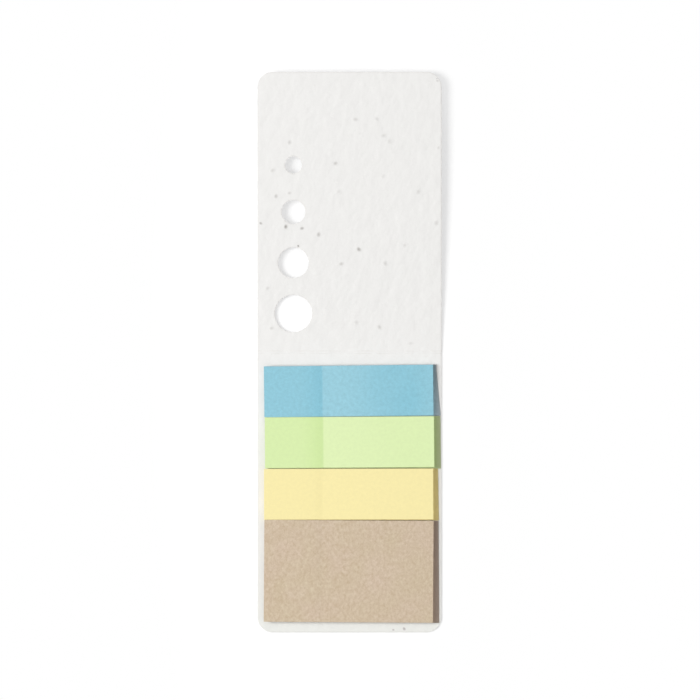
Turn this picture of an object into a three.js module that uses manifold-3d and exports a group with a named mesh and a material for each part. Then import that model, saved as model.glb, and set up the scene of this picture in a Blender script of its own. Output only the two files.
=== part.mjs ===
// Seed paper memo holder, lying open: a folded cover of seed paper with three pads of
// colour flags and one pad of kraft notes glued to its lower panel.
// Millimetres, +Z up. The origin lies on the table under the middle of the crease. The
// window flap runs along +Y, the panel with the pads along -Y, and the glued ends of the
// pads are at -X.

import * as THREE from "three";
import { mergeVertices } from "three/addons/utils/BufferGeometryUtils.js";
import Module from "manifold-3d";

// Pads: the flags and the notes share their length and their paper
const sheetLength = 50;
const flagWidth = 15;
const noteWidth = 30.1;
const sheetCount = 25;
const sheetThickness = 0.1;
const glueLength = 17.5;
const glueFilm = 0.004;
const glueRunOut = 2.5;
const freeArch = 0.12;

// Single sheets slip to and fro: how far, and the radians of the sine between two sheets
const sheetSlip = 0.04;
const slipAngle = 2.4;

// How far the lowest sheet of each pad sticks out beyond the top one
const blueLean = 1.3;
const greenLean = 1.9;
const yellowLean = 1.45;
const kraftLean = 1.6;

// Where the pads lie on the lower panel, measured from the crease and the cover's left edge
const creaseToPads = 3.95;
const leftMargin = 1.9;
const rightMargin = 2.5;
const tailMargin = 3.05;
const greenGap = 0.14;
const yellowGap = 0.36;
const kraftGap = 0.25;
const greenSlide = 0.25;
const blueTurn = 0.6;
const greenTurn = 0.4;
const yellowTurn = 0.1;
const kraftTurn = -0.35;

// Cover paper and its crease, which stands up inside the fold and is hollow outside
const paperThickness = 0.5;
const cornerRadius = 4.5;
const creaseWidth = 1;
const creaseHeight = 0.12;

// The open flap springs off the table: it leaves the crease at a slope and levels out
const flapStartSlope = 0.045;
const flapRise = 3.1;
const flapRiseLength = 65;

// Windows in the flap, one over each pad when the cover is shut
const windowInset = 10.6;
const blueWindow = 11;
const greenWindow = 9;
const yellowWindow = 7;
const kraftWindow = 5;
const kraftWindowInset = 6.4;

// How finely the curves are divided
const flapStations = 26;
const creaseStations = 6;
const padStations = 18;
const cornerSegments = 10;
const windowSegments = 48;

// Bleached pulp, and how matt all the papers are
const pulpColour = 0xefeeec;
const paperRoughness = 0.9;

const pads = [
  {
    name: "blue_flag_pad",
    colour: 0x97cbdb,
    width: flagWidth,
    gap: 0,
    slide: 0,
    turn: blueTurn,
    lean: blueLean,
    window: blueWindow,
    windowInset: flagWidth / 2,
  },
  {
    name: "green_flag_pad",
    colour: 0xe0f2ba,
    width: flagWidth,
    gap: greenGap,
    slide: greenSlide,
    turn: greenTurn,
    lean: greenLean,
    window: greenWindow,
    windowInset: flagWidth / 2,
  },
  {
    name: "yellow_flag_pad",
    colour: 0xf9ecaf,
    width: flagWidth,
    gap: yellowGap,
    slide: 0,
    turn: yellowTurn,
    lean: yellowLean,
    window: yellowWindow,
    windowInset: flagWidth / 2,
  },
  {
    name: "kraft_note_pad",
    colour: 0xcfbca4,
    width: noteWidth,
    gap: kraftGap,
    slide: 0,
    turn: kraftTurn,
    lean: kraftLean,
    window: kraftWindow,
    windowInset: kraftWindowInset,
  },
];

// The windows are punched on the plain pitch, while the pads lie a little further apart
let padStart = creaseToPads;
let windowStart = creaseToPads;
for (const pad of pads) {
  padStart += pad.gap;
  pad.centre = padStart + pad.width / 2;
  pad.windowCentre = windowStart + pad.windowInset;
  padStart += pad.width;
  windowStart += pad.width;
}

const coverWidth = leftMargin + sheetLength + rightMargin;
const panelLength = padStart + tailMargin;
const padHeight = sheetCount * sheetThickness;

// Spare length on the tools that only trim or cut the sheet
const spare = 1;

const wasm = await Module();
wasm.setup();

// A closed mesh as a solid that can be joined and cut
function solidOf(geometry) {
  geometry.deleteAttribute("normal");
  geometry.deleteAttribute("uv");
  const merged = mergeVertices(geometry);
  const mesh = new wasm.Mesh({
    numProp: 3,
    vertProperties: merged.attributes.position.array,
    triVerts: merged.index.array,
  });
  return new wasm.Manifold(mesh);
}

// A solid as a mesh geometry
function geometryOf(solid) {
  const mesh = solid.getMesh();
  const geometry = new THREE.BufferGeometry();
  geometry.setAttribute("position", new THREE.BufferAttribute(mesh.vertProperties, 3));
  geometry.setIndex(new THREE.BufferAttribute(mesh.triVerts, 1));
  geometry.computeVertexNormals();
  return geometry;
}

function extrude(shape, depth, curveSegments = 1) {
  return new THREE.ExtrudeGeometry(shape, { depth, curveSegments, bevelEnabled: false });
}

function smoothStep(t) {
  const held = THREE.MathUtils.clamp(t, 0, 1);
  return held * held * (3 - 2 * held);
}

// Height of the sheet's underside at a distance y along it, apart from the crease
function flapLift(y) {
  const u = THREE.MathUtils.clamp(y / flapRiseLength, 0, 1);
  const fromSlope = flapRiseLength * flapStartSlope * u * (1 - u) * (1 - u);
  return fromSlope + flapRise * smoothStep(u);
}

// The crease is a low round ridge, half of it on each side of the fold line
function creaseLift(y) {
  const across = THREE.MathUtils.clamp((2 * y) / creaseWidth, -1, 1);
  return (creaseHeight * (1 + Math.cos(Math.PI * across))) / 2;
}

// Distances along the sheet at which its section has a point
function coverStations() {
  const stations = [-panelLength - spare];
  const halfCrease = creaseWidth / 2;
  for (let i = 0; i <= creaseStations; i += 1) {
    stations.push(-halfCrease + (creaseWidth * i) / creaseStations);
  }
  const curved = Math.min(flapRiseLength, panelLength) - halfCrease;
  for (let i = 1; i <= flapStations; i += 1) {
    stations.push(halfCrease + (curved * i) / flapStations);
  }
  stations.push(panelLength + spare);
  return stations;
}

// The folded sheet in side view, drawn with Y to the right and Z up
function coverSection() {
  const stations = coverStations();
  const underside = stations.map((y) => new THREE.Vector2(y, flapLift(y) + creaseLift(y)));
  const upperside = underside.map((p) => new THREE.Vector2(p.x, p.y + paperThickness));
  return new THREE.Shape([...underside, ...upperside.reverse()]);
}

// The sheet's outline from above, with its four round corners
function coverOutline() {
  const x = coverWidth / 2;
  const y = panelLength;
  const r = cornerRadius;
  const outline = new THREE.Shape();
  outline.moveTo(-x + r, -y);
  outline.lineTo(x - r, -y);
  outline.absarc(x - r, -y + r, r, -Math.PI / 2, 0);
  outline.lineTo(x, y - r);
  outline.absarc(x - r, y - r, r, 0, Math.PI / 2);
  outline.lineTo(-x + r, y);
  outline.absarc(-x + r, y - r, r, Math.PI / 2, Math.PI);
  outline.lineTo(-x, -y + r);
  outline.absarc(-x + r, -y + r, r, Math.PI, Math.PI * 1.5);
  return outline;
}

function windowPunch(pad) {
  const punchLength = flapRise + paperThickness + 2 * spare;
  const punch = new THREE.CylinderGeometry(
    pad.window / 2,
    pad.window / 2,
    punchLength,
    windowSegments,
  );
  punch.applyMatrix4(
    new THREE.Matrix4().makeBasis(
      new THREE.Vector3(1, 0, 0),
      new THREE.Vector3(0, 0, 1),
      new THREE.Vector3(0, -1, 0),
    ),
  );
  punch.translate(
    -coverWidth / 2 + windowInset,
    pad.windowCentre,
    punchLength / 2 - spare,
  );
  return solidOf(punch);
}

// The sheet is its side view drawn out across its width, trimmed to the outline and punched
function coverGeometry() {
  const blankWidth = coverWidth + 2 * spare;
  const blank = extrude(coverSection(), blankWidth);
  blank.applyMatrix4(
    new THREE.Matrix4().makeBasis(
      new THREE.Vector3(0, 1, 0),
      new THREE.Vector3(0, 0, 1),
      new THREE.Vector3(1, 0, 0),
    ),
  );
  blank.translate(-blankWidth / 2, 0, 0);
  const outlineDepth = flapRise + paperThickness + creaseHeight + 2 * spare;
  const outline = extrude(coverOutline(), outlineDepth, cornerSegments);
  outline.translate(0, 0, -spare);
  let sheet = solidOf(blank).intersect(solidOf(outline));
  for (const pad of pads) {
    sheet = sheet.subtract(windowPunch(pad));
  }
  return geometryOf(sheet);
}

// Sheets lower in the stack stick out further to +X, each with a little slip of its own
function sheetShift(index, lean) {
  const depth = sheetCount - 1 - index;
  const slip = sheetSlip * Math.sin(slipAngle * depth);
  return (lean * depth) / Math.max(sheetCount - 1, 1) + slip;
}

// Height of the top sheet at a distance along it: thicker over the glue, arched where free
function padTop(along) {
  const glue = sheetCount * glueFilm;
  const overGlue = 1 - smoothStep((along - glueLength + glueRunOut) / glueRunOut);
  const free = THREE.MathUtils.clamp((along - glueLength) / (sheetLength - glueLength), 0, 1);
  return padHeight + glue * overGlue + 4 * freeArch * free * (1 - free);
}

// The stack in front view, drawn with X to the right and Z up, with a step for each sheet
function padSection(lean) {
  const left = -sheetLength / 2;
  const right = sheetLength / 2;
  const gluedSheet = sheetThickness + glueFilm;
  const points = [];
  for (let i = 0; i < sheetCount; i += 1) {
    const end = right + sheetShift(i, lean);
    points.push(new THREE.Vector2(end, i * sheetThickness));
    points.push(new THREE.Vector2(end, (i + 1) * sheetThickness));
  }
  for (let i = 1; i < padStations; i += 1) {
    const along = sheetLength * (1 - i / padStations);
    points.push(new THREE.Vector2(left + along, padTop(along)));
  }
  for (let i = sheetCount - 1; i >= 0; i -= 1) {
    const end = left + sheetShift(i, lean);
    points.push(new THREE.Vector2(end, (i + 1) * gluedSheet));
    points.push(new THREE.Vector2(end, i * gluedSheet));
  }
  return new THREE.Shape(points);
}

function padGeometry(pad) {
  const stack = extrude(padSection(pad.lean), pad.width);
  stack.translate(0, 0, -pad.width / 2);
  stack.applyMatrix4(
    new THREE.Matrix4().makeBasis(
      new THREE.Vector3(1, 0, 0),
      new THREE.Vector3(0, 0, 1),
      new THREE.Vector3(0, -1, 0),
    ),
  );
  return geometryOf(solidOf(stack));
}

function paper(colour) {
  return new THREE.MeshStandardMaterial({ color: colour, roughness: paperRoughness, metalness: 0 });
}

const memoHolder = new THREE.Group();

const cover = new THREE.Mesh(coverGeometry(), paper(pulpColour));
cover.name = "seed_paper_cover";
memoHolder.add(cover);

for (const pad of pads) {
  const stack = new THREE.Mesh(padGeometry(pad), paper(pad.colour));
  stack.name = pad.name;
  stack.position.set(
    -coverWidth / 2 + leftMargin + sheetLength / 2 + pad.slide,
    -pad.centre,
    paperThickness,
  );
  stack.rotation.z = THREE.MathUtils.degToRad(pad.turn);
  memoHolder.add(stack);
}

export default memoHolder;
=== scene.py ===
import math
import random

import bmesh
import bpy
import numpy as np
from bpy.props import FloatProperty, FloatVectorProperty, IntProperty, PointerProperty
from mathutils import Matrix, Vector, noise


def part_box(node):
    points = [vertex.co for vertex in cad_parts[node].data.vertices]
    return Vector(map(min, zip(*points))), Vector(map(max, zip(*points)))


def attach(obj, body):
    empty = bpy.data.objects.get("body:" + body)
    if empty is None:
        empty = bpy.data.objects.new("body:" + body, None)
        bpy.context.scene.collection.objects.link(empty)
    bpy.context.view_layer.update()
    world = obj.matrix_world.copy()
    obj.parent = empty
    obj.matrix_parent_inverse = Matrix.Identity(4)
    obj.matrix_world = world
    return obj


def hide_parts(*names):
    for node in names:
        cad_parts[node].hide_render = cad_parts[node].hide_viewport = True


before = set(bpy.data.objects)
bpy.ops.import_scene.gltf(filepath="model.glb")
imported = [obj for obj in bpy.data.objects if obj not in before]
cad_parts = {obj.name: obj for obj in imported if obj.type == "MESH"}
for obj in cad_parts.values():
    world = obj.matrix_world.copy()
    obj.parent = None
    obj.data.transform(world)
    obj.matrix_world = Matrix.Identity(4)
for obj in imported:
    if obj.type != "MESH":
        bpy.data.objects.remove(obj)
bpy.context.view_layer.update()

bl_info = {
    "name": "Seed Paper Memo Holder",
    "version": (1, 0, 0),
    "blender": (4, 5, 0),
    "location": "View3D > Sidebar > Memo Holder",
    "description": "Builds an open seed paper cover with its pads of flags and notes",
    "category": "Add Mesh",
}

MM = 0.001
BODY = "root"

# The pads. The turn is in degrees. The lean in mm is how far the lowest sheet sticks out
# at its lower and its upper free corner, and the splay how far it does at the lower long
# side, at its glued and its free end. The wave says how far the free end of the top sheet
# lies in waves, and cloudiness how far the dye's depth varies over a flag.
PADS = {
    "blue_flag_pad": {
        "slot": "blue_paper",
        "cloudiness": 0.08,
        "turn": 0.6,
        "lean": (2.1, 0.9),
        "splay": (0.04, 0.04),
        "wave": 1.0,
    },
    "green_flag_pad": {
        "slot": "green_paper",
        "cloudiness": 0.028,
        "turn": 0.4,
        "lean": (1.95, 1.9),
        "splay": (0.36, 0.52),
        "wave": 0.15,
    },
    "yellow_flag_pad": {
        "slot": "yellow_paper",
        "cloudiness": 0.026,
        "turn": 0.1,
        "lean": (1.65, 1.4),
        "splay": (0.24, 0.32),
        "wave": 0.1,
    },
    "kraft_note_pad": {
        "slot": "kraft_paper",
        "turn": -0.35,
        "lean": (1.85, 1.45),
        "splay": (0.0, 0.0),
        "wave": 0.0,
    },
}

# Lumps of the pulp: their lean in degrees, how much longer than wide they are, the widths
# of the broad and the small ones in mm, and the share that each has in the relief
LUMP_LEAN = 20
LUMP_STRETCH = 1.5
BROAD_LUMP = 3.0
SMALL_LUMP = 1.4
BROAD_SHARE = 0.65
SMALL_SHARE = 0.35

# Share of the relief that the press has flattened
PRESSED_SHARE = 0.25

# Where in the noise each uneven feature is taken from, and how much further on the small
# lumps of a face are
UPPER_FACE = 1.0
LOWER_FACE = 50.0
SMALL_LUMP_STEP = 20
CREASE_RIDGE = 7.0
CUT_EDGE = 90.0

# Sizes in mm of the crushed stretches of the crease, of the bites out of the cut edges and
# of the waves in a loose flag
CRUSHED_SIZE = 2.5
FRAY_SIZE = 0.9
WAVE_SIZE = 9.0

# Dark lines beside the fold, painted shade at the feet of the crease ridge and fibres that
# the fold crushed: their distance from it and their half width, in mm
CREASE_FOOT = 0.38
CREASE_LINE = 0.25

# A fibre's length for one of its width, and how far the noise rises until it shows in full
FIBRE_STRETCH = 7.0
FIBRE_RISE = 0.17

# Share of a sheet's pitch that is paper, the air in mm that is left above it at least,
# and how unevenly the air is shared out between the sheets
PAPER_SHARE = 0.95
LEAST_AIR = 0.002
AIR_WEIGHTS = (0.2, 1.0)

# Over how many mm the glue thins out at its end
GLUE_RUN_OUT = 2.5

# Sheets slip to and fro by a sine of so many radians a sheet, and each lies up to so many
# mm up or down the panel
SLIP_ANGLE = 2.4
SHEET_DRIFT = 0.03

# Mesh of a pad: cells along the top sheet and along the others, the width in mm of a cell
# across the top sheet and the number across the others, and the angle of a sharp edge
TOP_CELLS = 100
LOWER_CELLS = 24
TOP_CELL_WIDTH = 0.75
LOWER_CROSS_CELLS = 3
SHARP_EDGE = 40

# Depth of colour of the sheets below the top one, whose faces hardly show
LOWER_HELD = 0.6

# Stretch of the panel under the pads, in mm along it, where no seed shows
UNDER_PADS = (-80.5, -3.0)

# Sizes of the seeds as shares of a whole one, how bare of pulp they are on the upper and
# on the lower face, and the share that the table leaves of their height on the lower one
SEED_SIZES = (0.85, 1.1)
BARE_ABOVE = (0.01, 0.07)
BARE_BELOW = (0.1, 0.5)
PROUD_BELOW = 0.4

# Mesh of a seed: points round it, bands from its top to its bottom, and the distance in
# metres within which its points at each end are one
SEED_POINTS = 14
SEED_BANDS = 8
SAME_POINT = 1e-7

# Cutting the sheet's mesh: points nearer to the cut than this share of a cell move onto
# it, points within this many metres of it lie on it, and a cut between two points is
# found by so many halvings
SNAP_SHARE = 0.3
ON_CUT = 1e-8
HALVINGS = 24

# Camera: width of its sensor in mm, and how far it sees in metres
SENSOR_WIDTH = 36.0
SIGHT = 20.0

# Tabletop: how far it lies under the card, in mm, and how much a distance along each
# axis counts for the oval in which it shows shading
TABLE_GAP = 0.02
OVAL = (1.0, 0.3, 1.0)

# Windows in the flap: distance from the crease and diameter, in mm
WINDOWS = ((11.45, 11.0), (26.45, 9.0), (41.45, 7.0), (55.35, 5.0))

# Seeds that show on the upper face: x and y in mm, and how bare of pulp each one is
SHOWN_SEEDS = (
    (1.7, 68.8, 0.28),
    (10.0, 64.0, 0.25),
    (-17.8, 62.0, 0.31),
    (-4.2, 55.8, 0.42),
    (-21.8, 46.1, 0.43),
    (-18.9, 37.1, 0.81),
    (-14.1, 36.6, 0.62),
    (-9.2, 34.8, 0.50),
    (2.7, 30.4, 0.67),
    (-2.5, 26.1, 0.38),
    (10.5, 26.2, 0.31),
    (-15.2, 31.4, 1.0),
    (25.6, 38.2, 0.25),
    (20.3, 47.4, 0.24),
    (8.8, 7.4, 0.36),
    (18.0, 2.6, 0.20),
    (8.0, 68.9, 0.21),
    (11.7, 62.3, 0.20),
    (-22.8, 53.7, 0.26),
    (9.8, 52.0, 0.15),
    (-3.2, 47.5, 0.16),
    (-17.8, 47.0, 0.30),
    (16.2, 31.6, 0.24),
    (-26.3, 38.1, 0.6),
    (26.2, 60.4, 0.22),
    (-24.3, 18.9, 0.24),
    (2.0, 8.8, 0.24),
    (-23.1, 7.1, 0.28),
    (16.1, -81.8, 0.65),
    (25.8, 80.9, 0.40),
    (25.9, 80.2, 0.30),
    (12.9, -82.1, 0.6),
)


def linear(hex_colour):
    """A linear RGBA colour from an sRGB hex value."""
    shares = [int(hex_colour[i : i + 2], 16) / 255 for i in (1, 3, 5)]
    low = [s / 12.92 if s <= 0.04045 else ((s + 0.055) / 1.055) ** 2.4 for s in shares]
    return (*low, 1.0)


def length(name, text, default):
    """A size in metres that the sidebar shows, from a default in millimetres."""
    default *= MM
    return FloatProperty(
        name=name, description=text, default=default, precision=5, unit="LENGTH"
    )


def factor(name, text, default):
    """A share from 0 to 1 that the sidebar shows."""
    return FloatProperty(name=name, description=text, default=default, subtype="FACTOR")


def angle(name, text, default):
    """An angle that the sidebar shows, from a default in degrees."""
    default = math.radians(default)
    return FloatProperty(name=name, description=text, default=default, subtype="ANGLE")


def colour(name, text, default):
    """A colour that the sidebar shows, from a hex default."""
    return FloatVectorProperty(
        name=name,
        description=text,
        default=linear(default),
        size=4,
        min=0.0,
        max=1.0,
        subtype="COLOR",
    )


def smooth_step(t):
    held = min(max(t, 0.0), 1.0)
    return held * held * (3 - 2 * held)


class CoverSettings(bpy.types.PropertyGroup):
    """Sizes and colours of the folded seed paper sheet."""

    thickness: length("Thickness", "Thickness of the seed paper", 0.5)
    corner: length("Corner radius", "Radius of the four cut corners", 4.5)
    window_inset: length("Window inset", "Window centres from the left edge", 10.6)
    crease_width: length("Crease width", "Width of the raised crease", 1.0)
    crease_height: length("Crease height", "Height of the raised crease", 0.09)
    rise_length: length("Rise length", "Distance in which the flap lifts", 65.0)
    start_slope: FloatProperty(
        name="Start slope",
        description="Slope at which the flap leaves the crease",
        default=0.065,
    )
    rim: length("Rim radius", "Rounding along every cut edge", 0.03)
    fray: length("Fray", "How far the cut edges wander inwards", 0.03)
    cell: length("Grid cell", "Size of the mesh cells", 0.5)
    lump_depth: length("Lump depth", "Depth of the hollows between pulp lumps", 0.21)
    # Painted shade: chaff colour laid on the cut edges and down the rim, for the shade that
    # falls on the sheet's cut edges
    edge_shade_share: factor(
        "Edge share", "How much chaff colour shows where the cut crushed the pulp", 0.16
    )
    pulp: colour("Pulp", "Colour of the bleached pulp", "#F1F0EE")
    pulp_shade: colour("Pulp shade", "Colour of its thinner patches", "#EBEAE8")
    # Painted shade: the pulp turns this colour from the crease towards the lower panel's end,
    # for the shade round the pads
    pulp_end_shade: colour("Shaded pulp", "Colour of the shaded end under the pads", "#EAEBE7")
    chaff: colour("Chaff", "Colour of the finest bits in the pulp", "#C9C3B8")


class SeedSettings(bpy.types.PropertyGroup):
    """Sizes and colours of the seeds that are pressed into the sheet."""

    long_axis: length("Seed length", "Length of a whole seed", 2.6)
    short_axis: length("Seed width", "Width of a whole seed", 2.0)
    depth: length("Seed thickness", "Thickness of a whole seed", 0.16)
    proud: length("Proud", "How far a seed stands out of the paper", 0.03)
    hidden: IntProperty(
        name="Faint seeds",
        description="Seeds scattered under a skin of pulp on both faces",
        default=46,
        min=0,
    )
    husk: colour("Husk", "Colour of a bare seed", "#7A736B")
    skin: colour("Skin", "Colour of the pulp that covers a seed", "#EFEEEC")


class PadSettings(bpy.types.PropertyGroup):
    """Sizes and colours of the flag pads and the note pad."""

    sheet_length: length("Sheet length", "Length of a flag or a note", 50.0)
    flag_width: length("Flag width", "Width of a flag", 15.0)
    note_width: length("Note width", "Width of a note", 30.1)
    sheets: IntProperty(
        name="Sheets", description="Number of sheets in a pad", default=25, min=2
    )
    pitch: length("Sheet pitch", "Height of one sheet in the stack", 0.1)
    glue_length: length("Glue length", "Length of the glued stretch", 17.5)
    glue_film: length("Glue film", "Thickness of the glue on a sheet", 0.004)
    arch: length("Arch", "Rise of the free stretch of the top sheet", 0.1)
    slip: length("Slip", "How far single sheets slip", 0.03)
    squeeze: factor("Squeeze", "Share of its height that a pad loses at its free end", 0.15)
    blue: colour("Blue", "Blue flag where air lies under it", "#9ACCDB")
    blue_held: colour("Held blue", "Blue flag where it lies on the next", "#8AC4D6")
    # Side colours paint shade on the sheets' edges, darker than the faces for the shade
    # between the sheets; low side colours paint the lowest edges grey for the pad's shadow on
    # the card
    blue_side_shade: colour("Blue side", "Edges of the blue sheets", "#99B6C0")
    blue_low_shadow: colour("Low blue side", "Edges of the lowest blue sheets", "#BDC9CE")
    green: colour("Green", "Green flag where air lies under it", "#DFF1B8")
    green_held: colour("Held green", "Green flag on the next", "#D2EAA6")
    green_side_shade: colour("Green side", "Edges of the green sheets", "#B9CB8D")
    green_low_shadow: colour("Low green side", "Edges of the lowest green sheets", "#CAD4AA")
    yellow: colour("Yellow", "Yellow flag where air lies under it", "#F8EBAD")
    yellow_held: colour("Held yellow", "Yellow flag on the next", "#F7EAAC")
    yellow_side_shade: colour("Yellow side", "Edges of the yellow sheets", "#F0DE96")
    yellow_low_shadow: colour("Low yellow side", "Edges of the lowest yellow sheets", "#F6E4A6")
    kraft: colour("Kraft", "Unbleached note paper", "#DBCDB4")
    kraft_tint: colour("Kraft tint", "Redder patches of it", "#E0CEBD")
    kraft_fibre: colour("Kraft fibre", "Darker fibres in the notes", "#BFA98D")
    # Painted shade on the kraft sheets' edges, and painted shadow grey on the lowest ones
    kraft_side_shade: colour("Kraft side", "Edges of the kraft sheets", "#AF9987")
    kraft_low_shadow: colour("Low kraft side", "Edges of the lowest kraft sheets", "#C2B1A4")


class StageSettings(bpy.types.PropertyGroup):
    """Camera, light and floor."""

    pixels_per_mm: FloatProperty(
        name="Scale", description="Pixels for one mm of the object", default=3.382
    )
    picture_side: IntProperty(
        name="Picture", description="Side of the picture in pixels", default=700
    )
    crease_drop: FloatProperty(
        name="Crease drop",
        description="Pixels from the picture's middle down to the crease",
        default=2.2,
    )
    camera_height: length("Camera height", "Camera above the floor", 6000.0)
    camera_side: length("Camera side", "Camera right of the middle", 0.1)
    lamp_distance: length("Lamp distance", "Lamp from the object", 2000.0)
    lamp_elevation: angle("Lamp elevation", "Height of the lamp over the horizon", 54)
    lamp_bearing: angle(
        "Lamp bearing", "Turn of the lamp from the left towards the far end", 1
    )
    lamp_height: angle(
        "Lamp height", "Angle that the lamp spans from its lower to its upper edge", 25
    )
    lamp_width: angle("Lamp width", "Angle that the lamp spans from side to side", 24)
    lamp_share: factor(
        "Lamp share",
        "Light of the lamp on a level surface, where 1 shows white as white",
        0.615,
    )
    fill_share: factor("Fill share", "Light from all round on a level surface", 0.4)
    ceiling_power: FloatProperty(
        name="Ceiling power",
        description="How much the light from all round gathers overhead, 0 for not at all",
        default=2.5,
    )
    floor_share: factor(
        "Floor share", "How much of the lit floor the camera sees under its white", 0.41
    )
    far_share: factor(
        "Far floor share", "The same beyond the flap's end, where the table shines more", 0.38
    )
    far_start: length("Far start", "Where the floor starts to shine more", 45.0)
    far_end: length("Far end", "Where it shines most", 75.0)
    near_radius: length("Near radius", "How far to the side the floor shows shading", 34.0)
    white_radius: length("White radius", "Where it has become plain white", 60.0)
    floor_side: length("Floor side", "Side of the floor", 8000.0)


class MemoHolderSettings(bpy.types.PropertyGroup):
    """All sizes and colours of the memo holder."""

    cover: PointerProperty(type=CoverSettings)
    seeds: PointerProperty(type=SeedSettings)
    pads: PointerProperty(type=PadSettings)
    stage: PointerProperty(type=StageSettings)


def add_node(tree, kind, inputs=None, **settings):
    """Adds a node. Each input is given a value, or what is linked to it: a socket, or a
    node, which stands for its first output."""
    node = tree.nodes.new(kind)
    for name, value in settings.items():
        setattr(node, name, value)
    for name, value in (inputs or {}).items():
        if isinstance(value, bpy.types.Node):
            value = value.outputs[0]
        if isinstance(value, bpy.types.NodeSocket):
            tree.links.new(value, node.inputs[name])
        else:
            node.inputs[name].default_value = value
    return node


# Positions of the colour sockets on a Mix node that is set to RGBA
MIX_FACTOR = 0
MIX_A = 6
MIX_B = 7
MIX_RESULT = 2

WHITE = (1.0, 1.0, 1.0, 1.0)


def empty_material(name):
    """A new material, its node tree, and the place on the object that it colours."""
    material = bpy.data.materials.new(name)
    material.use_nodes = True
    tree = material.node_tree
    tree.nodes.clear()
    return material, tree, add_node(tree, "ShaderNodeTexCoord").outputs["Object"]


def per_metre(millimetres):
    """Texture scale at which one feature is about that many millimetres across."""
    return 1 / (millimetres * MM)


def lay_tints(tree, base, *layers):
    """Lays colours over a base one after the other, each as dense as its own share."""
    for share, tint in layers:
        mix = add_node(
            tree,
            "ShaderNodeMix",
            {MIX_FACTOR: share, MIX_A: base, MIX_B: tuple(tint)},
            data_type="RGBA",
        )
        base = mix.outputs[MIX_RESULT]
    return base


def strands(tree, place, turn, width, start, most):
    """How strongly the fibres show that lie at one turn. Real ones are some hundredths of
    a mm wide, and these are as coarse as they need to be to show."""
    drawn_out = add_node(
        tree,
        "ShaderNodeMapping",
        {
            "Vector": place,
            "Rotation": (0.0, 0.0, math.radians(turn)),
            "Scale": (FIBRE_STRETCH, 1.0, 1.0),
        },
        vector_type="TEXTURE",
    )
    strand = add_node(
        tree,
        "ShaderNodeTexNoise",
        {"Vector": drawn_out, "Scale": per_metre(width), "Detail": 2.0, "Roughness": 0.5},
    )
    full = start + FIBRE_RISE
    return add_node(
        tree,
        "ShaderNodeMapRange",
        {"Value": strand, "From Min": start, "From Max": full, "To Max": most},
    )


def finish_paper(tree, base, height, bump_depth, roughness):
    """Ends a paper: a matt, hardly shining surface with its relief, in mm."""
    bump = add_node(tree, "ShaderNodeBump", {"Height": height, "Distance": bump_depth * MM})
    shader = add_node(
        tree,
        "ShaderNodeBsdfPrincipled",
        {
            "Base Color": base,
            "Roughness": roughness,
            "Normal": bump,
            "IOR": 1.5,
            "Specular IOR Level": 0.2,
        },
    )
    add_node(tree, "ShaderNodeOutputMaterial", {"Surface": shader})


def seed_paper_material(settings, sheet_end):
    """Uncoated seed paper, formed on a mould and air dried: a soft white, lumpy, matt
    surface with cloudy patches, fibres and stray bits of chaff."""
    material, tree, place = empty_material("seed_paper")
    cloud = add_node(
        tree,
        "ShaderNodeTexNoise",
        {"Vector": place, "Scale": per_metre(4.5), "Detail": 5.0, "Roughness": 0.65},
    )
    along = add_node(tree, "ShaderNodeSeparateXYZ", {"Vector": place}).outputs["Y"]
    # Painted shade: darker from the crease towards the lower panel's end, for the shade round
    # the pads
    end_shade = add_node(tree, "ShaderNodeMapRange", {"Value": along, "From Max": -sheet_end})
    fibres = [strands(tree, place, turn, 0.4, 0.62, 0.045) for turn in (15, 75, 130)]
    bits = add_node(
        tree, "ShaderNodeTexVoronoi", {"Vector": place, "Scale": per_metre(3.2)}
    )
    bit = add_node(
        tree,
        "ShaderNodeMapRange",
        {"Value": bits, "From Min": 0.03, "From Max": 0.11, "To Min": 0.08, "To Max": 0.0},
    )
    # Painted shade at the feet of the crease ridge, with the fibres that the fold crushed
    crushed = crease_lines(tree, place)
    # Painted shade along the cut edges
    cut = add_node(tree, "ShaderNodeAttribute", attribute_name="cut").outputs["Fac"]
    dark = (*fibres, bit, crushed, cut)
    base = lay_tints(
        tree,
        tuple(settings.pulp),
        (cloud, settings.pulp_shade),
        (end_shade, settings.pulp_end_shade),
        *[(share, settings.chaff) for share in dark],
    )
    leaning = add_node(
        tree,
        "ShaderNodeMapping",
        {
            "Vector": place,
            "Rotation": (0.0, 0.0, math.radians(-LUMP_LEAN)),
            "Scale": (1.0, LUMP_STRETCH, 1.0),
        },
        vector_type="TEXTURE",
    )
    lumps = add_node(
        tree,
        "ShaderNodeTexNoise",
        {"Vector": leaning, "Scale": per_metre(1.3), "Detail": 3.0, "Roughness": 0.5},
    )
    finish_paper(tree, base, lumps, 0.12, 0.9)
    return material


def crease_lines(tree, place):
    """Broken dark lines at both feet of the crease: painted shade where the ridge meets the
    sheet, and fibres that the fold crushed.
    """
    along = add_node(tree, "ShaderNodeSeparateXYZ", {"Vector": place}).outputs["Y"]
    off_fold = add_node(tree, "ShaderNodeMath", {0: along}, operation="ABSOLUTE")
    off_foot = add_node(
        tree,
        "ShaderNodeMath",
        {0: off_fold, 1: CREASE_FOOT * MM},
        operation="SUBTRACT",
    )
    beside = add_node(tree, "ShaderNodeMath", {0: off_foot}, operation="ABSOLUTE")
    line = add_node(
        tree,
        "ShaderNodeMapRange",
        {"Value": beside, "From Max": CREASE_LINE * MM, "To Min": 0.16, "To Max": 0.0},
    )
    breaks = add_node(
        tree,
        "ShaderNodeTexNoise",
        {"Vector": place, "Scale": per_metre(3), "Detail": 3.0},
    )
    broken = add_node(
        tree,
        "ShaderNodeMapRange",
        {"Value": breaks, "From Min": 0.42, "From Max": 0.6},
    )
    return add_node(tree, "ShaderNodeMath", {0: line, 1: broken}, operation="MULTIPLY")


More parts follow.
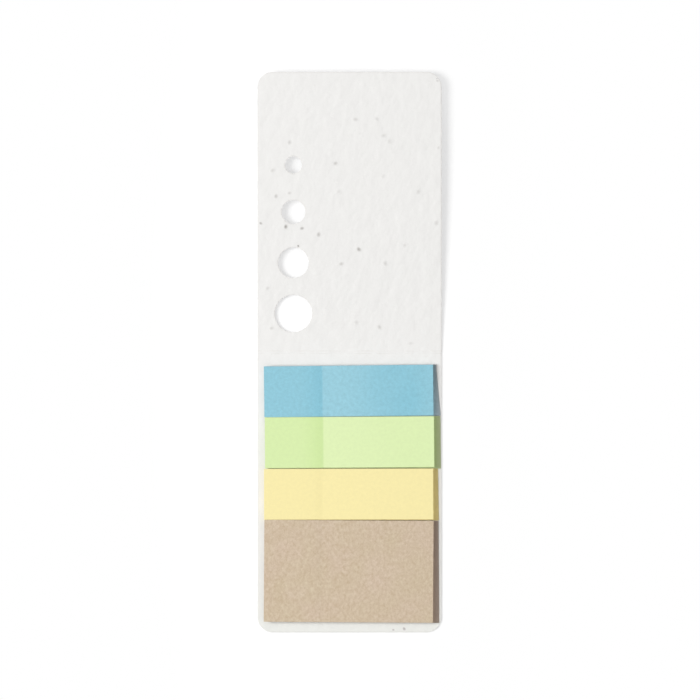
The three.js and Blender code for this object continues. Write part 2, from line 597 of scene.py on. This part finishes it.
def seed_material(settings):
    """Small dry seeds with a dull grey brown husk, most of it under a skin of pulp, so
    that each one shows as a soft edged speck."""
    material, tree, place = empty_material("seed_husk")
    bare = add_node(tree, "ShaderNodeAttribute", attribute_name="bare").outputs["Fac"]
    grain = add_node(
        tree,
        "ShaderNodeTexNoise",
        {"Vector": place, "Scale": per_metre(0.3), "Detail": 3.0},
    )
    base = lay_tints(tree, tuple(settings.skin), (bare, settings.husk))
    finish_paper(tree, base, grain, 0.008, 0.8)
    return material


def side_colour(tree, base, upper, lower):
    """The colour of the sheets' cut edges, with painted shade and painted shadow: darker and
    greyer than the faces for the shade between the sheets, and a paler grey the lower the
    sheet lies, for the pad's shadow on the card beside it. The attribute is 0 for the top
    sheet, and 1 to 2 down the stack."""
    side = add_node(tree, "ShaderNodeAttribute", attribute_name="side").outputs["Fac"]
    below = add_node(tree, "ShaderNodeMath", {0: side, 1: 1.0}, operation="SUBTRACT")
    return lay_tints(tree, base, (side, upper), (below, lower))


def flag_material(name, cloudiness, free_colour, held_colour, *edge_shades):
    """Dyed uncoated flag paper: smooth and matt, a little deeper in colour where glue or
    its own weight holds it on the next sheet and no air lies between them."""
    material, tree, place = empty_material(name)
    held = add_node(tree, "ShaderNodeAttribute", attribute_name="held").outputs["Fac"]
    base = lay_tints(tree, free_colour, (held, held_colour))
    # Painted shade on the sheets' edges, and painted shadow grey on the lowest ones
    base = side_colour(tree, base, *edge_shades)
    formation = add_node(
        tree,
        "ShaderNodeTexNoise",
        {"Vector": place, "Scale": per_metre(1.0), "Detail": 5.0, "Roughness": 0.68},
    )
    shade = add_node(
        tree,
        "ShaderNodeMapRange",
        {
            "Value": formation,
            "From Min": 0.3,
            "From Max": 0.7,
            "To Min": 1 - cloudiness,
            "To Max": 1 + cloudiness,
        },
    )
    clouded = add_node(
        tree,
        "ShaderNodeMix",
        {MIX_FACTOR: 1.0, MIX_A: base, MIX_B: shade},
        data_type="RGBA",
        blend_type="MULTIPLY",
    )
    finish_paper(tree, clouded.outputs[MIX_RESULT], formation, 0.012, 0.8)
    return material


def kraft_material(settings):
    """Unbleached kraft note paper: brown and machine made, matt, with redder broad
    patches, a cloudy grain and short dark fibres."""
    material, tree, place = empty_material("kraft_paper")
    broad = add_node(
        tree,
        "ShaderNodeTexNoise",
        {"Vector": place, "Scale": per_metre(9), "Detail": 3.0, "Roughness": 0.5},
    )
    tinted = add_node(
        tree,
        "ShaderNodeMapRange",
        {"Value": broad, "From Min": 0.3, "From Max": 0.7},
    )
    grain = add_node(
        tree,
        "ShaderNodeMapping",
        {"Vector": place, "Scale": (1.0, 1.25, 1.0)},
        vector_type="TEXTURE",
    )
    cloud = add_node(
        tree,
        "ShaderNodeTexNoise",
        {"Vector": grain, "Scale": per_metre(0.9), "Detail": 6.0, "Roughness": 0.8},
    )
    patch = add_node(
        tree,
        "ShaderNodeMapRange",
        {"Value": cloud, "From Min": 0.28, "From Max": 0.72},
    )
    fibres = [strands(tree, place, turn, 0.3, 0.58, 0.45) for turn in (45, 85, 135)]
    dark = (patch, *fibres)
    base = lay_tints(
        tree,
        tuple(settings.kraft),
        (tinted, settings.kraft_tint),
        *[(share, settings.kraft_fibre) for share in dark],
    )
    # Painted shade on the sheets' edges, and painted shadow grey on the lowest ones
    base = side_colour(tree, base, settings.kraft_side_shade, settings.kraft_low_shadow)
    finish_paper(tree, base, cloud, 0.02, 0.85)
    return material


def slope_of(distance, x, y):
    """Direction in which a distance grows fastest, as two unit components."""
    step = 1e-6
    along_x = distance(x + step, y) - distance(x - step, y)
    along_y = distance(x, y + step) - distance(x, y - step)
    size = np.maximum(np.hypot(along_x, along_y), 1e-12)
    return along_x / size, along_y / size


def crossing(distance, first, second):
    """Point between two others at which a distance is zero."""
    for _ in range(HALVINGS):
        middle = (first + second) / 2
        if distance(*middle) <= 0:
            first = middle
        else:
            second = middle
    return (first + second) / 2


def clip_grid(columns, rows, distance):
    """Points and faces of a grid where distance is at most zero, cut along its zero line.
    Points that lie close to the line are first moved onto it, so no face is a sliver."""
    x, y = np.meshgrid(columns, rows, indexing="ij")
    cell = min(np.diff(columns).min(), np.diff(rows).max())
    far = distance(x, y)
    near = (np.abs(far) < SNAP_SHARE * cell) & (np.abs(far) > ON_CUT)
    to_x, to_y = slope_of(distance, x[near], y[near])
    x[near] -= far[near] * to_x
    y[near] -= far[near] * to_y
    far[near] = 0.0
    inside = far <= ON_CUT
    index = np.full(x.shape, -1)
    index[inside] = np.arange(inside.sum())
    points = [np.array(p) for p in zip(x[inside], y[inside])]
    cuts = {}
    faces = []
    for i in range(len(columns) - 1):
        for j in range(len(rows) - 1):
            corners = ((i, j), (i + 1, j), (i + 1, j + 1), (i, j + 1))
            kept = [inside[c] for c in corners]
            if all(kept):
                faces.append(tuple(int(index[c]) for c in corners))
                continue
            if not any(kept):
                continue
            face = []
            for k in range(4):
                here = corners[k]
                there = corners[(k + 1) % 4]
                if inside[here]:
                    face.append(int(index[here]))
                if inside[here] == inside[there]:
                    continue
                paper, air = (here, there) if inside[here] else (there, here)
                if far[paper] > -ON_CUT:
                    continue
                if (paper, air) not in cuts:
                    start = np.array((x[paper], y[paper]))
                    end = np.array((x[air], y[air]))
                    cuts[paper, air] = len(points)
                    points.append(crossing(distance, start, end))
                face.append(cuts[paper, air])
            if len(face) > 2:
                faces.append(tuple(face))
    return np.array(points), faces


def cut_edges(faces):
    """Directed edges that only one face has, with the paper on their left."""
    used = set()
    for face in faces:
        for k in range(len(face)):
            used.add((face[k], face[(k + 1) % len(face)]))
    return [(a, b) for a, b in used if (b, a) not in used]


def pulp_noise(x, y, size, seed):
    """Smooth noise from 0 to 1 with features of that many millimetres."""
    place = Vector((x / (size * MM), y / (size * MM), seed))
    return min(max(0.5 + 0.5 * noise.noise(place), 0.0), 1.0)


class Sheet:
    """The folded seed paper sheet as height functions over the table, in metres."""

    def __init__(self, settings):
        low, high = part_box("seed_paper_cover")
        self.settings = settings
        self.half_width = (high.x - low.x) / 2
        self.half_length = (high.y - low.y) / 2
        self.rise = high.z - low.z - settings.thickness

    def distance(self, x, y):
        """Signed distance to the cut edges, negative on the paper."""
        corner = self.settings.corner
        out_x = np.abs(x) - (self.half_width - corner)
        out_y = np.abs(y) - (self.half_length - corner)
        outside = np.hypot(np.maximum(out_x, 0), np.maximum(out_y, 0))
        distance = outside + np.minimum(np.maximum(out_x, out_y), 0) - corner
        window_x = -self.half_width + self.settings.window_inset
        for centre, diameter in WINDOWS:
            from_centre = np.hypot(x - window_x, y - centre * MM)
            distance = np.maximum(distance, diameter * MM / 2 - from_centre)
        return distance

    def underside(self, x, y):
        """Height of the sheet's lower face, with the crease's ridge crushed in places."""
        s = self.settings
        u = min(max(y / s.rise_length, 0.0), 1.0)
        lift = s.rise_length * s.start_slope * u * (1 - u) ** 2 + self.rise * smooth_step(u)
        across = min(max(2 * y / s.crease_width, -1.0), 1.0)
        ridge = (1 + math.cos(math.pi * across)) / 2
        if ridge > 0:
            ridge *= 0.7 + 0.3 * pulp_noise(x, y, CRUSHED_SIZE, CREASE_RIDGE)
        return lift + s.crease_height * ridge

    def hollow(self, x, y, seed):
        """Depth of the pulp's surface under the highest lumps, which are longer than wide
        and all lean one way, as the felt pressed them."""
        lean = math.radians(LUMP_LEAN)
        across = x * math.cos(lean) - y * math.sin(lean)
        along = (x * math.sin(lean) + y * math.cos(lean)) / LUMP_STRETCH
        broad = pulp_noise(across, along, BROAD_LUMP, seed)
        small = pulp_noise(across, along, SMALL_LUMP, seed + SMALL_LUMP_STEP)
        relief = BROAD_SHARE * broad + SMALL_SHARE * small
        return self.settings.lump_depth * max(relief - PRESSED_SHARE, 0.0)

    def top(self, x, y):
        level = self.underside(x, y) + self.settings.thickness
        return level - self.hollow(x, y, UPPER_FACE)

    def bottom(self, x, y):
        return self.underside(x, y) + self.hollow(x, y, LOWER_FACE)


def finer_rows(half_length, cell, crease_width):
    """Row positions: even cells along the sheet, and finer ones over the crease."""
    fine = crease_width / 8
    edge = crease_width * 0.75
    count = round((half_length - edge) / cell)
    outer = np.linspace(edge, half_length, count + 1)
    inner = np.linspace(-edge, edge, round(2 * edge / fine) + 1)
    return np.concatenate((-outer[::-1], inner[1:-1], outer))


def make_object(name, points, faces, material, values=None):
    """A mesh object with smooth faces. Values are numbers for each point, by name."""
    mesh = bpy.data.meshes.new(name)
    mesh.from_pydata([tuple(p) for p in points], [], faces)
    mesh.validate()
    mesh.materials.append(material)
    for key, numbers in (values or {}).items():
        attribute = mesh.attributes.new(key, "FLOAT", "POINT")
        attribute.data.foreach_set("value", np.array(numbers, np.float32))
    mesh.shade_smooth()
    piece = bpy.data.objects.new(name, mesh)
    bpy.context.scene.collection.objects.link(piece)
    return piece


def rim_profile(rim, thickness):
    """Steps down a cut edge: how far out of the flat face, and how far down the edge."""
    steps = [math.radians(a) for a in (30, 60, 90)]
    upper = [(rim * math.sin(a), rim * (1 - math.cos(a))) for a in steps]
    middle = [(rim, thickness / 2)]
    lower = [(out, thickness - down) for out, down in reversed(upper)]
    return upper + middle + lower


def build_cover(settings):
    """The sheet as one closed mesh: both faces, and a rounded rim that frays a little."""
    sheet = Sheet(settings)
    rim = settings.rim
    half_width = sheet.half_width - rim
    half_length = sheet.half_length - rim
    columns = np.linspace(-half_width, half_width, round(2 * half_width / settings.cell))
    rows = finer_rows(half_length, settings.cell, settings.crease_width)
    plan, faces = clip_grid(columns, rows, lambda x, y: sheet.distance(x, y) + rim)
    count = len(plan)
    points = [(x, y, sheet.top(x, y)) for x, y in plan]
    points += [(x, y, sheet.bottom(x, y)) for x, y in plan]
    solid = list(faces)
    solid += [tuple(count + k for k in reversed(face)) for face in faces]
    edges = cut_edges(faces)
    border = sorted({a for a, _ in edges})
    # Painted shade: the cut attribute darkens the border and the rim with chaff colour, for
    # the shade on the cut edges
    cut = [0.0] * len(points)
    for at in border:
        cut[at] = settings.edge_shade_share
        cut[count + at] = settings.edge_shade_share
    out_x, out_y = slope_of(sheet.distance, plan[border, 0], plan[border, 1])
    rings = {}
    for k, at in enumerate(border):
        x, y = plan[at]
        high = points[at][2]
        low = points[count + at][2]
        rings[at] = [at]
        for out, down in rim_profile(rim, settings.thickness):
            frayed = pulp_noise(x + down, y, FRAY_SIZE, CUT_EDGE)
            reach = out - settings.fray * (out / rim) * frayed
            height = high + (low - high) * down / settings.thickness
            rings[at].append(len(points))
            points.append((x + out_x[k] * reach, y + out_y[k] * reach, height))
            cut.append(settings.edge_shade_share)
        rings[at].append(count + at)
    for a, b in edges:
        for k in range(len(rings[a]) - 1):
            solid.append((rings[b][k], rings[a][k], rings[a][k + 1], rings[b][k + 1]))
    material = seed_paper_material(settings, sheet.half_length)
    return make_object("cover_sheet", points, solid, material, {"cut": cut})


def seed_places(settings, sheet):
    """Seeds on the upper and lower face: x, y, how bare, and which face."""
    chance = random.Random(11)
    places = [(x * MM, y * MM, bare, 1) for x, y, bare in SHOWN_SEEDS]
    while len(places) < len(SHOWN_SEEDS) + settings.hidden:
        x = chance.uniform(-1, 1) * sheet.half_width
        y = chance.uniform(-1, 1) * sheet.half_length
        face = chance.choice((1, -1))
        bare = chance.uniform(*(BARE_ABOVE if face > 0 else BARE_BELOW))
        under_pads = face > 0 and UNDER_PADS[0] * MM < y < UNDER_PADS[1] * MM
        if under_pads or sheet.distance(x, y) > -settings.long_axis:
            continue
        places.append((x, y, bare, face))
    return places


def build_seeds(settings, cover_settings):
    """Every seed is a whole flattened ball that follows the paper's lumps, sunk so far
    that only its cap shows."""
    sheet = Sheet(cover_settings)
    chance = random.Random(23)
    points = []
    faces = []
    bare_values = []
    for x, y, bare, face in seed_places(settings, sheet):
        room = -sheet.distance(x, y) / (settings.long_axis / 2)
        size = min(chance.uniform(*SEED_SIZES), room)
        turn = chance.uniform(0, math.pi)
        long = settings.long_axis / 2 * size
        short = settings.short_axis / 2 * size
        thick = settings.depth / 2
        cap = math.sqrt(max(1 - (1 - settings.proud / thick) ** 2, 0.0))
        first = len(points)
        for band in range(SEED_BANDS + 1):
            tilt = math.pi * band / SEED_BANDS
            for k in range(SEED_POINTS):
                spin = 2 * math.pi * k / SEED_POINTS
                flat = math.sin(tilt)
                px = long * flat * math.cos(spin)
                py = short * flat * math.sin(spin)
                at_x = x + px * math.cos(turn) - py * math.sin(turn)
                at_y = y + px * math.sin(turn) + py * math.cos(turn)
                if face > 0:
                    centre = sheet.top(at_x, at_y) + settings.proud - thick
                else:
                    lowest = sheet.bottom(at_x, at_y) - PROUD_BELOW * settings.proud
                    centre = max(lowest, 0.0) + thick
                points.append((at_x, at_y, centre + thick * math.cos(tilt)))
                bare_values.append(bare * (1 - smooth_step(flat / cap)))
        for band in range(SEED_BANDS):
            start = first + band * SEED_POINTS
            for k in range(SEED_POINTS):
                a = start + k
                b = start + (k + 1) % SEED_POINTS
                faces.append((a, a + SEED_POINTS, b + SEED_POINTS, b))
    material = seed_material(settings)
    piece = make_object("pressed_seeds", points, faces, material, {"bare": bare_values})
    join_poles(piece)
    return piece


def join_poles(piece):
    """Merges the points that meet at the ends of each seed."""
    work = bmesh.new()
    work.from_mesh(piece.data)
    bmesh.ops.remove_doubles(work, verts=work.verts, dist=SAME_POINT)
    bmesh.ops.recalc_face_normals(work, faces=work.faces)
    work.to_mesh(piece.data)
    work.free()


class Stack:
    """One pad: where its sheets lie, from the solid that it replaces."""

    def __init__(self, node, width, settings):
        low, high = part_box(node)
        turn = math.radians(PADS[node]["turn"])
        self.settings = settings
        self.width = width
        self.turn = turn
        self.base = low.z
        self.lean = [lean * MM for lean in PADS[node]["lean"]]
        self.splay = [splay * MM for splay in PADS[node]["splay"]]
        reach = settings.sheet_length / 2 * math.cos(turn) + width / 2 * abs(math.sin(turn))
        self.centre_x = low.x + reach
        self.centre_y = (low.y + high.y) / 2
        self.chance = random.Random(node)
        weights = [self.chance.uniform(*AIR_WEIGHTS) for _ in range(settings.sheets)]
        self.gaps = [w / sum(weights) for w in weights]

    def along_stack(self, sheet):
        return sheet / (self.settings.sheets - 1)

    def shift(self, sheet, across):
        """How far a sheet sticks out at the free end, at a distance from the long side."""
        s = self.settings
        depth = s.sheets - 1 - sheet
        lean = self.lean[0] + (self.lean[1] - self.lean[0]) * across / self.width
        return lean * depth / (s.sheets - 1) + s.slip * math.sin(SLIP_ANGLE * depth)

    def aside(self, sheet, along, across):
        """How far a sheet sticks out past the lower long side of the pad."""
        reach = along / self.settings.sheet_length
        splay = self.splay[0] + (self.splay[1] - self.splay[0]) * reach
        return splay * (1 - self.along_stack(sheet)) * (1 - across / self.width)

    def height(self, sheet, along):
        """Underside of a sheet over the card, at a distance from its glued end."""
        s = self.settings
        run_out = GLUE_RUN_OUT * MM
        glued = 1 - smooth_step((along - s.glue_length + run_out) / run_out)
        free = min(max((along - s.glue_length) / (s.sheet_length - s.glue_length), 0.0), 1.0)
        arch = s.arch * self.along_stack(sheet) ** 2 * 4 * free * (1 - free)
        body = s.pitch * PAPER_SHARE
        spare = s.sheets * (s.pitch - body)
        fan = spare * sum(self.gaps[:sheet])
        squeeze = 1 - s.squeeze * along / s.sheet_length
        return (sheet * (body + s.glue_film * glued) + fan) * squeeze + arch

    def place(self, x, y, z):
        """A point of the pad in the frame, from one on the pad's own axes."""
        cos = math.cos(self.turn)
        sin = math.sin(self.turn)
        return (
            self.centre_x + x * cos - y * sin,
            self.centre_y + x * sin + y * cos,
            self.base + z,
        )


def held_share(along, across, settings, seed, wave):
    """How closely the top sheet lies on the next: glued, then free with loose waves."""
    glue = settings.glue_length
    wander = pulp_noise(along, across, WAVE_SIZE, seed)
    if along < glue:
        # Half held at the end, and fully where the glue stops
        return 0.55 + 0.45 * smooth_step((along - 0.55 * glue) / (0.45 * glue))
    # Springing up past the glue, lying close further on, and lifting at the free end
    free = (along - glue) / (settings.sheet_length - glue)
    rise = smooth_step((free - 0.15) / 0.6) - 0.45 * smooth_step((free - 0.8) / 0.2)
    close = 0.95 * rise * (0.75 + 0.5 * (wander - 0.5)) + 0.1 * wander
    return min(max(wave * close, 0.0), 1.0)


def build_pad(settings, name, node, width, material):
    """A pad as closed single sheets, of which the top one is finely divided."""
    stack = Stack(node, width, settings)
    body = settings.pitch * PAPER_SHARE * (1 - settings.squeeze) - LEAST_AIR * MM
    points = []
    faces = []
    held = []
    sides = []
    seed = float(len(node))
    wave = PADS[node]["wave"]
    for sheet in range(settings.sheets):
        top = sheet == settings.sheets - 1
        long_cells = TOP_CELLS if top else LOWER_CELLS
        cross_cells = round(width / (TOP_CELL_WIDTH * MM)) if top else LOWER_CROSS_CELLS
        drift = 0 if top else stack.chance.uniform(-SHEET_DRIFT, SHEET_DRIFT) * MM
        # How much painted shade the sheet's edges take: none on the top sheet, then from the
        # shaded edge colour to the painted shadow grey down the stack
        edge = 0.0 if top else 2 - stack.along_stack(sheet)
        index = {}
        for side in (1, 0):
            for i in range(long_cells + 1):
                along = settings.sheet_length * i / long_cells
                for j in range(cross_cells + 1):
                    across = width * j / cross_cells
                    x = along + stack.shift(sheet, across) - settings.sheet_length / 2
                    y = across - stack.aside(sheet, along, across) - width / 2 + drift
                    index[side, i, j] = len(points)
                    points.append(stack.place(x, y, stack.height(sheet, along) + side * body))
                    if top:
                        held.append(held_share(along, across, settings, seed, wave))
                    else:
                        held.append(LOWER_HELD)
                    sides.append(edge)
        for i in range(long_cells):
            for j in range(cross_cells):
                ring = ((i, j), (i + 1, j), (i + 1, j + 1), (i, j + 1))
                faces.append(tuple(index[1, *c] for c in ring))
                faces.append(tuple(index[0, *c] for c in reversed(ring)))
        rim = [(i, 0) for i in range(long_cells)]
        rim += [(long_cells, j) for j in range(cross_cells)]
        rim += [(i, cross_cells) for i in range(long_cells, 0, -1)]
        rim += [(0, j) for j in range(cross_cells, 0, -1)]
        for k, a in enumerate(rim):
            b = rim[(k + 1) % len(rim)]
            faces.append((index[1, *b], index[1, *a], index[0, *a], index[0, *b]))
    piece = make_object(name, points, faces, material, {"held": held, "side": sides})
    piece.data.set_sharp_from_angle(angle=math.radians(SHARP_EDGE))
    return piece


def adopt(piece, slot, *nodes):
    """Lets a finished piece ride on the body and stand for its solids."""
    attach(piece, BODY)
    if nodes:
        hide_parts(*nodes)


class MEMO_OT_cover(bpy.types.Operator):
    """Add the folded seed paper sheet with its windows, crease and lifted flap"""

    bl_idname = "memo_holder.cover"
    bl_label = "Seed Paper Cover"

    def execute(self, context):
        settings = context.scene.memo_holder.cover
        adopt(build_cover(settings), "seed_paper", "seed_paper_cover")
        return {"FINISHED"}


class MEMO_OT_seeds(bpy.types.Operator):
    """Add the seeds that are pressed into the sheet"""

    bl_idname = "memo_holder.seeds"
    bl_label = "Pressed Seeds"

    def execute(self, context):
        settings = context.scene.memo_holder
        adopt(build_seeds(settings.seeds, settings.cover), "seed_paper")
        return {"FINISHED"}


class MEMO_OT_flags(bpy.types.Operator):
    """Add the three pads of colour flags"""

    bl_idname = "memo_holder.flags"
    bl_label = "Flag Pads"

    def execute(self, context):
        settings = context.scene.memo_holder.pads
        shades = {
            "blue_flag_pad": ("blue", "blue_held", "blue_side_shade", "blue_low_shadow"),
            "green_flag_pad": ("green", "green_held", "green_side_shade", "green_low_shadow"),
            "yellow_flag_pad": ("yellow", "yellow_held", "yellow_side_shade", "yellow_low_shadow"),
        }
        for node, tints in shades.items():
            slot = PADS[node]["slot"]
            shown = [tuple(getattr(settings, tint)) for tint in tints]
            material = flag_material(slot, PADS[node]["cloudiness"], *shown)
            name = node.replace("_pad", "_sheets")
            piece = build_pad(settings, name, node, settings.flag_width, material)
            adopt(piece, slot, node)
        return {"FINISHED"}


class MEMO_OT_notes(bpy.types.Operator):
    """Add the pad of kraft notes"""

    bl_idname = "memo_holder.notes"
    bl_label = "Note Pad"

    def execute(self, context):
        settings = context.scene.memo_holder.pads
        material = kraft_material(settings)
        node = "kraft_note_pad"
        name = "kraft_note_sheets"
        piece = build_pad(settings, name, node, settings.note_width, material)
        adopt(piece, PADS[node]["slot"], node)
        return {"FINISHED"}


def white_for_camera(tree, seen_share, surface):
    """Mixes white that only the camera, glass or metal sees into a surface."""
    path = add_node(tree, "ShaderNodeLightPath")
    seen = add_node(
        tree,
        "ShaderNodeMath",
        {0: path.outputs["Is Camera Ray"], 1: path.outputs["Is Glossy Ray"]},
        operation="MAXIMUM",
    )
    seen = add_node(
        tree,
        "ShaderNodeMath",
        {0: seen, 1: path.outputs["Is Transmission Ray"]},
        operation="MAXIMUM",
    )
    share = add_node(tree, "ShaderNodeMath", {0: seen, 1: seen_share}, operation="MULTIPLY")
    white = add_node(tree, "ShaderNodeEmission", {"Color": WHITE, "Strength": 1.0})
    return add_node(tree, "ShaderNodeMixShader", {0: share, 1: surface, 2: white})


def build_floor(settings):
    """A plain white tabletop, a hair under the card, that keeps the card's shadow. It
    turns to plain white beyond an oval round the card."""
    side = settings.floor_side / 2
    depth = -TABLE_GAP * MM
    corners = [(-side, -side, depth), (side, -side, depth), (side, side, depth)]
    corners.append((-side, side, depth))
    material, tree, place = empty_material("white_tabletop")
    diffuse = add_node(tree, "ShaderNodeBsdfDiffuse", {"Color": WHITE})
    far = add_node(tree, "ShaderNodeSeparateXYZ", {"Vector": place}).outputs["Y"]
    share = add_node(
        tree,
        "ShaderNodeMapRange",
        {
            "Value": far,
            "From Min": settings.far_start,
            "From Max": settings.far_end,
            "To Min": settings.floor_share,
            "To Max": settings.far_share,
        },
    )
    oval = add_node(tree, "ShaderNodeVectorMath", {0: place, 1: OVAL}, operation="MULTIPLY")
    away = add_node(tree, "ShaderNodeVectorMath", {0: oval}, operation="LENGTH")
    near = add_node(
        tree,
        "ShaderNodeMapRange",
        {
            "Value": away.outputs["Value"],
            "From Min": settings.near_radius,
            "From Max": settings.white_radius,
            "To Min": 1.0,
            "To Max": 0.0,
        },
    )
    shading = add_node(tree, "ShaderNodeMath", {0: share, 1: near}, operation="MULTIPLY")
    white = add_node(tree, "ShaderNodeMath", {0: 1.0, 1: shading}, operation="SUBTRACT")
    surface = white_for_camera(tree, white, diffuse)
    add_node(tree, "ShaderNodeOutputMaterial", {"Surface": surface})
    floor = make_object("tabletop", corners, [(0, 1, 2, 3)], material)


def spread(span):
    """Light of a flat lamp that spans an angle, as a share of one bent round the object."""
    half = span / 2
    return (half + math.sin(half) * math.cos(half)) / (2 * math.tan(half))


def build_lamp(settings):
    """One large soft lamp from the left, as strong as its share of light on a level
    white surface asks."""
    data = bpy.data.lights.new("soft_lamp", "AREA")
    data.shape = "RECTANGLE"
    data.size = 2 * settings.lamp_distance * math.tan(settings.lamp_width / 2)
    data.size_y = 2 * settings.lamp_distance * math.tan(settings.lamp_height / 2)
    area = data.size * data.size_y
    elevation = settings.lamp_elevation
    reach = area / settings.lamp_distance**2 * math.sin(elevation)
    reach *= spread(settings.lamp_width) * spread(settings.lamp_height)
    data.energy = math.pi * area * math.pi * settings.lamp_share / reach
    lamp = bpy.data.objects.new("soft_lamp", data)
    bpy.context.scene.collection.objects.link(lamp)
    towards = Vector(
        (
            -math.cos(elevation) * math.cos(settings.lamp_bearing),
            math.cos(elevation) * math.sin(settings.lamp_bearing),
            math.sin(elevation),
        )
    )
    lamp.location = towards * settings.lamp_distance
    lamp.rotation_mode = "QUATERNION"
    lamp.rotation_quaternion = towards.to_track_quat("Z", "Y")


def build_world(settings):
    """Light from all round that is strongest overhead, as under a bright ceiling, and
    plain white where the camera sees past the floor."""
    world = bpy.data.worlds.new("studio")
    world.use_nodes = True
    tree = world.node_tree
    tree.nodes.clear()
    towards = add_node(tree, "ShaderNodeTexCoord").outputs["Generated"]
    height = add_node(tree, "ShaderNodeSeparateXYZ", {"Vector": towards}).outputs["Z"]
    height = add_node(tree, "ShaderNodeMath", {0: height, 1: 0.0}, operation="MAXIMUM")
    power = settings.ceiling_power
    falloff = add_node(tree, "ShaderNodeMath", {0: height, 1: power}, operation="POWER")
    overhead = settings.fill_share * (power + 2) / 2
    strength = add_node(
        tree, "ShaderNodeMath", {0: falloff, 1: overhead}, operation="MULTIPLY"
    )
    fill = add_node(tree, "ShaderNodeBackground", {"Color": WHITE, "Strength": strength})
    surface = white_for_camera(tree, 1.0, fill)
    add_node(tree, "ShaderNodeOutputWorld", {"Surface": surface})
    bpy.context.scene.world = world


def build_camera(settings):
    """A long lens high over the object, looking straight down."""
    data = bpy.data.cameras.new("camera")
    seen = settings.picture_side / settings.pixels_per_mm * MM
    data.sensor_width = SENSOR_WIDTH
    data.lens = data.sensor_width * settings.camera_height / seen
    data.clip_end = SIGHT
    camera = bpy.data.objects.new("camera", data)
    bpy.context.scene.collection.objects.link(camera)
    middle_y = settings.crease_drop / settings.pixels_per_mm * MM
    camera.location = (settings.camera_side, middle_y, settings.camera_height)
    bpy.context.scene.camera = camera


class MEMO_OT_stage(bpy.types.Operator):
    """Add the tabletop, the lamp, the surrounding light and the camera"""

    bl_idname = "memo_holder.stage"
    bl_label = "Stage"

    def execute(self, context):
        settings = context.scene.memo_holder.stage
        build_floor(settings)
        build_lamp(settings)
        build_world(settings)
        build_camera(settings)
        context.scene.view_settings.view_transform = "Standard"
        return {"FINISHED"}


class MEMO_PT_panel(bpy.types.Panel):
    """The memo holder's operators and settings in the sidebar"""

    bl_label = "Memo Holder"
    bl_idname = "MEMO_PT_panel"
    bl_space_type = "VIEW_3D"
    bl_region_type = "UI"
    bl_category = "Memo Holder"

    def draw(self, context):
        layout = self.layout
        for operator in OPERATORS:
            layout.operator(operator.bl_idname)
        settings = context.scene.memo_holder
        for group in (settings.cover, settings.seeds, settings.pads, settings.stage):
            box = layout.box()
            for name in group.__annotations__:
                box.prop(group, name)


OPERATORS = (MEMO_OT_cover, MEMO_OT_seeds, MEMO_OT_flags, MEMO_OT_notes, MEMO_OT_stage)
CLASSES = (
    CoverSettings,
    SeedSettings,
    PadSettings,
    StageSettings,
    MemoHolderSettings,
    *OPERATORS,
    MEMO_PT_panel,
)


def register():
    for cls in CLASSES:
        bpy.utils.register_class(cls)
    bpy.types.Scene.memo_holder = PointerProperty(type=MemoHolderSettings)


def unregister():
    del bpy.types.Scene.memo_holder
    for cls in reversed(CLASSES):
        bpy.utils.unregister_class(cls)


def main():
    register()
    bpy.ops.memo_holder.cover()
    bpy.ops.memo_holder.seeds()
    bpy.ops.memo_holder.flags()
    bpy.ops.memo_holder.notes()
    bpy.ops.memo_holder.stage()


if __name__ == "__main__":
    main()
